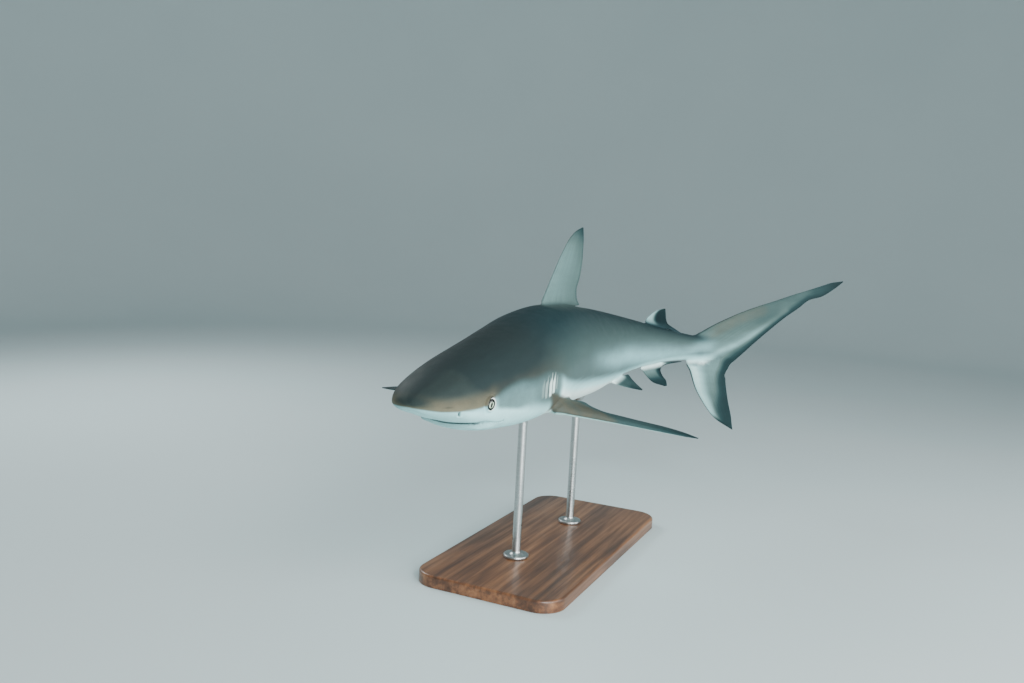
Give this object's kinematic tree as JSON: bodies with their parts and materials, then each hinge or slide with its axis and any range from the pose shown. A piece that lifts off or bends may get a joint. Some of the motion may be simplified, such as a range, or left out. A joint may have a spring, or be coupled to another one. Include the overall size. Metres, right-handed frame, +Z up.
{
  "type": "reef shark display model",
  "caption": "Still, life-size swimming reef shark with bent body, fins and eyes, held by short rods on a flat rounded base",
  "frame": {"origin": "centre of the whole model's box in X and Y, at the underside of the stand's base (z = 0)", "axes": "+Z is up; the snout points along -X and the tail along +X; the shark's left side faces -Y, and the tail bends towards -Y"},
  "size_m": [1.6706, 1.0811, 0.8734],
  "materials": {
    "skin": "satin cast skin: grey-brown to teal back, pale flank band, greenish white belly, dusky fin edges",
    "eyes": "clear gloss over a grey-brown iris with an upright slit pupil",
    "stand_wood": "dark oiled walnut with rounded edges",
    "stand_steel": "brushed steel rods"
  },
  "bodies": {
    "root": {"head": "skin", "lower_jaw": "skin", "gill_section": "skin", "trunk_front": "skin", "trunk_rear": "skin", "tail_stalk": "skin", "first_dorsal_fin": "skin", "second_dorsal_fin": "skin", "anal_fin": "skin", "pectoral_fin_left": "skin", "pectoral_fin_right": "skin", "pelvic_fin_left": "skin", "pelvic_fin_right": "skin", "caudal_fin_upper": "skin", "caudal_fin_lower": "skin", "eye_left": "eyes", "eye_right": "eyes", "stand_base": "stand_wood", "stand_rod_front": "stand_steel", "stand_rod_rear": "stand_steel"}
  },
  "joints": []
}
